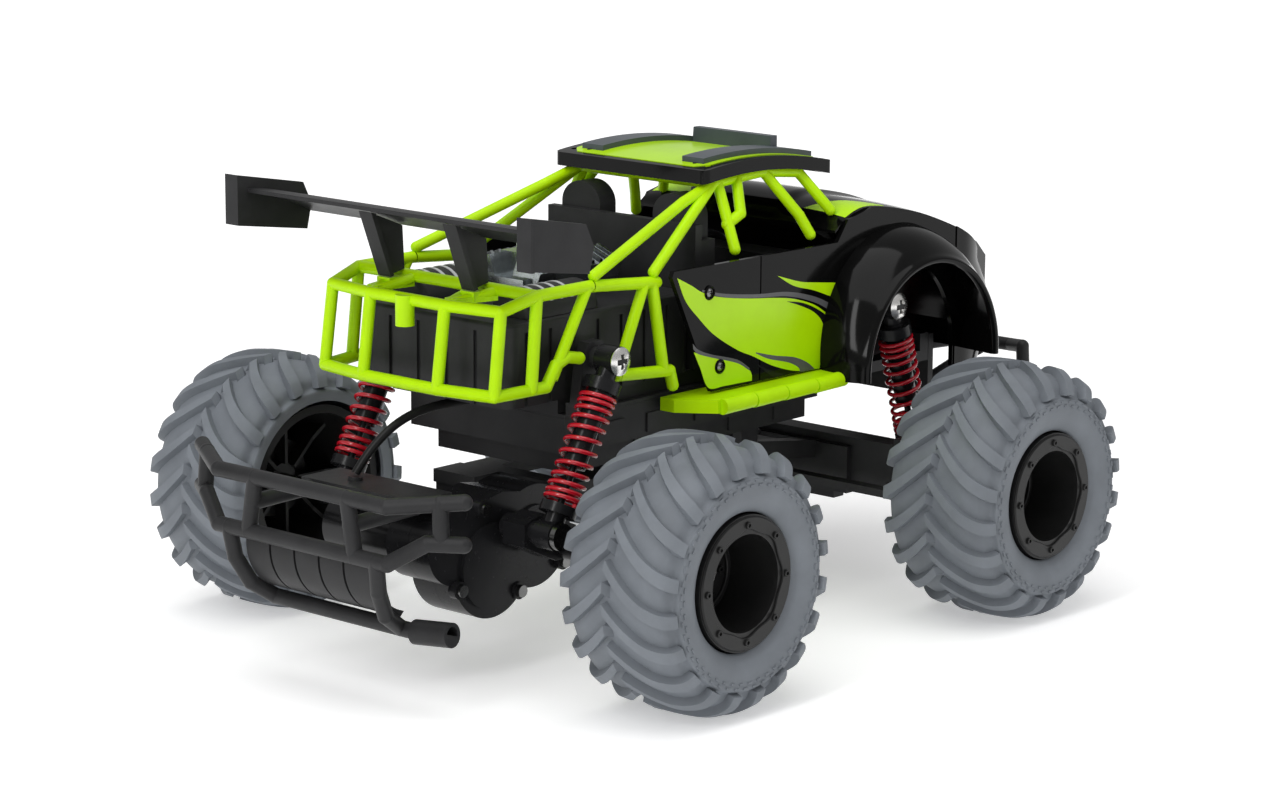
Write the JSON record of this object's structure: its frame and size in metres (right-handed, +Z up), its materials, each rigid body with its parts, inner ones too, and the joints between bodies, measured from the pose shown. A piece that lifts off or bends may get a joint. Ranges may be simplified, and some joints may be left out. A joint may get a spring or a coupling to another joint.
{
  "type": "rc monster truck",
  "caption": "Toy radio-controlled monster truck with big soft tyres, sprung swing axles, steering, a tube cage and a bed-mounted wing.",
  "frame": {"origin": "on the ground, under the middle of the truck", "axes": "+X forward, +Y to the truck's left, +Z up"},
  "size_m": [0.413, 0.298, 0.2015],
  "materials": {
    "tyre": "matte grey rubber",
    "rim_black": "satin black",
    "lime_plastic": "moulded lime green, satin gloss",
    "body_gloss": "gloss black with lime decals",
    "chassis_black": "satin black",
    "gear_case": "black, semi-gloss",
    "spring_red": "red lacquered wire",
    "screw_steel": "nickel plated",
    "gear_white": "white acetal",
    "motor_steel": "plated steel",
    "engine_chrome": "vacuum plated plastic",
    "roof_grey": "satin dark grey",
    "lens_clear": "clear polished",
    "cable_black": "soft black sleeve",
    "battery_wrap": "shrink wrap",
    "board_green": "solder mask"
  },
  "bodies": {
    "chassis": {"battery_door": "chassis_black", "battery_pack": "battery_wrap", "bed_frame": "lime_plastic", "bed_humps": "chassis_black", "bed_tub": "chassis_black", "body_screws": "screw_steel", "body_shell": "body_gloss", "cab_interior": "chassis_black", "chassis_cover": "chassis_black", "chassis_tub": "chassis_black", "front_bumper": "chassis_black", "headlamps": "lens_clear", "motor_lead": "cable_black", "receiver_board": "board_green", "roll_cage": "lime_plastic", "roof_panel": "body_gloss", "roof_trim": "roof_grey", "running_boards": "lime_plastic", "shock_screws": "screw_steel", "shock_towers": "chassis_black", "toy_engine": "engine_chrome", "wing_blade": "chassis_black", "wing_struts": "chassis_black"},
    "power_switch": {"power_switch": "chassis_black"},
    "rear_axle": {"gearbox_left": "gear_case", "gearbox_right": "gear_case", "swing_arm": "chassis_black", "drive_motor": "motor_steel", "axle_tubes": "gear_case", "rear_bumper": "chassis_black", "skid_plate": "chassis_black", "axle_screws": "screw_steel", "rear_springs": "spring_red"},
    "rear_wheels": {"rear_shaft": "screw_steel", "final_gear": "gear_white", "tyre_rear_left": "tyre", "tyre_rear_right": "tyre", "rim_rear_left": "rim_black", "rim_rear_right": "rim_black"},
    "idler": {"idler_gear": "gear_white"},
    "motor_rotor": {"motor_pinion": "motor_steel"},
    "front_axle": {"front_axle_beam": "chassis_black", "steering_servo": "chassis_black", "front_springs": "spring_red"},
    "knuckle_left": {"knuckle_left": "chassis_black"},
    "knuckle_right": {"knuckle_right": "chassis_black"},
    "tie_rod": {"tie_rod": "chassis_black"},
    "servo_horn": {"servo_horn": "chassis_black"},
    "wheel_front_left": {"tyre_front_left": "tyre", "rim_front_left": "rim_black"},
    "wheel_front_right": {"tyre_front_right": "tyre", "rim_front_right": "rim_black"},
    "shock_body_rear_left": {"shock_body_rear_left": "gear_case"},
    "shock_rod_rear_left": {"shock_rod_rear_left": "gear_case"},
    "shock_body_rear_right": {"shock_body_rear_right": "gear_case"},
    "shock_rod_rear_right": {"shock_rod_rear_right": "gear_case"},
    "shock_body_front_left": {"shock_body_front_left": "gear_case"},
    "shock_rod_front_left": {"shock_rod_front_left": "gear_case"},
    "shock_body_front_right": {"shock_body_front_right": "gear_case"},
    "shock_rod_front_right": {"shock_rod_front_right": "gear_case"}
  },
  "joints": [
    {"name": "power_switch_slide", "type": "slide", "parent": "chassis", "child": "power_switch", "axis": [1, 0, 0], "range_m": [0, 0.003]},
    {"name": "rear_swing", "type": "hinge", "parent": "chassis", "child": "rear_axle", "pos_m": [-0.034, 0, 0.07], "axis": [0, 1, 0], "range_deg": [-4, 6], "stiffness_Nm_per_rad": 5, "springref_deg": -4.58, "deforming": ["rear_springs", "motor_lead"]},
    {"name": "front_swing", "type": "hinge", "parent": "chassis", "child": "front_axle", "pos_m": [0.034, 0, 0.066], "axis": [0, -1, 0], "range_deg": [-4, 6], "stiffness_Nm_per_rad": 5, "springref_deg": -4.58, "deforming": ["front_springs"]},
    {"name": "rear_wheel_spin", "type": "hinge", "parent": "rear_axle", "child": "rear_wheels", "pos_m": [-0.1055, 0, 0.055], "axis": [0, 1, 0], "continuous": true},
    {"name": "idler_spin", "type": "hinge", "parent": "rear_axle", "child": "idler", "pos_m": [-0.12989, 0, 0.04722], "axis": [0, 1, 0], "continuous": true},
    {"name": "motor_spin", "type": "hinge", "parent": "rear_axle", "child": "motor_rotor", "pos_m": [-0.15037, 0, 0.05811], "axis": [0, 1, 0], "continuous": true},
    {"name": "steer_left", "type": "hinge", "parent": "front_axle", "child": "knuckle_left", "pos_m": [0.0955, 0.08, 0.055], "axis": [0, 0, 1], "range_deg": [-20, 20]},
    {"name": "steer_right", "type": "hinge", "parent": "front_axle", "child": "knuckle_right", "pos_m": [0.0955, -0.08, 0.055], "axis": [0, 0, 1], "range_deg": [-20.5, 20.5]},
    {"name": "tie_rod_slide", "type": "slide", "parent": "front_axle", "child": "tie_rod", "axis": [0, 1, 0], "range_m": [-0.008, 0.008]},
    {"name": "servo_turn", "type": "hinge", "parent": "front_axle", "child": "servo_horn", "pos_m": [0.0515, 0, 0.0527], "axis": [0, 0, 1], "range_deg": [-20.5, 20.5]},
    {"name": "front_left_wheel_spin", "type": "hinge", "parent": "knuckle_left", "child": "wheel_front_left", "pos_m": [0.0955, 0.12, 0.055], "axis": [0, 1, 0], "continuous": true},
    {"name": "front_right_wheel_spin", "type": "hinge", "parent": "knuckle_right", "child": "wheel_front_right", "pos_m": [0.0955, -0.12, 0.055], "axis": [0, 1, 0], "continuous": true},
    {"name": "rear_left_shock_pivot", "type": "hinge", "parent": "chassis", "child": "shock_body_rear_left", "pos_m": [-0.089, 0.06, 0.129], "axis": [0, 1, 0], "range_deg": [-3.19, 4.53]},
    {"name": "rear_left_shock_slide", "type": "slide", "parent": "shock_body_rear_left", "child": "shock_rod_rear_left", "axis": [-0.4817, 0, -0.8764], "range_m": [-0.00856, 0.00588]},
    {"name": "rear_right_shock_pivot", "type": "hinge", "parent": "chassis", "child": "shock_body_rear_right", "pos_m": [-0.089, -0.06, 0.129], "axis": [0, 1, 0], "range_deg": [-3.19, 4.53]},
    {"name": "rear_right_shock_slide", "type": "slide", "parent": "shock_body_rear_right", "child": "shock_rod_rear_right", "axis": [-0.4817, 0, -0.8764], "range_m": [-0.00856, 0.00588]},
    {"name": "front_left_shock_pivot", "type": "hinge", "parent": "chassis", "child": "shock_body_front_left", "pos_m": [0.0915, 0.06, 0.1273], "axis": [0, 1, 0], "range_deg": [-3.04, 2.19]},
    {"name": "front_left_shock_slide", "type": "slide", "parent": "shock_body_front_left", "child": "shock_rod_front_left", "axis": [0.2825, 0, -0.9593], "range_m": [-0.00813, 0.00559]},
    {"name": "front_right_shock_pivot", "type": "hinge", "parent": "chassis", "child": "shock_body_front_right", "pos_m": [0.0915, -0.06, 0.1273], "axis": [0, 1, 0], "range_deg": [-3.04, 2.19]},
    {"name": "front_right_shock_slide", "type": "slide", "parent": "shock_body_front_right", "child": "shock_rod_front_right", "axis": [0.2825, 0, -0.9593], "range_m": [-0.00813, 0.00559]}
  ],
  "couplings": [
    {"joint": "idler_spin", "follows": "rear_wheel_spin", "ratio": -2.2},
    {"joint": "motor_spin", "follows": "rear_wheel_spin", "ratio": 8.4333},
    {"joint": "steer_right", "follows": "steer_left", "ratio": 1},
    {"joint": "tie_rod_slide", "follows": "steer_left", "m_per_rad": -0.0226},
    {"joint": "servo_turn", "follows": "steer_left", "ratio": -1},
    {"joint": "rear_left_shock_pivot", "follows": "rear_swing", "ratio": 0.67217},
    {"joint": "rear_left_shock_slide", "follows": "rear_swing", "m_per_rad": -0.077},
    {"joint": "rear_right_shock_pivot", "follows": "rear_swing", "ratio": 0.67217},
    {"joint": "rear_right_shock_slide", "follows": "rear_swing", "m_per_rad": -0.077},
    {"joint": "front_left_shock_pivot", "follows": "front_swing", "ratio": -0.42343},
    {"joint": "front_left_shock_slide", "follows": "front_swing", "m_per_rad": -0.072902},
    {"joint": "front_right_shock_pivot", "follows": "front_swing", "ratio": -0.42343},
    {"joint": "front_right_shock_slide", "follows": "front_swing", "m_per_rad": -0.072902}
  ]
}
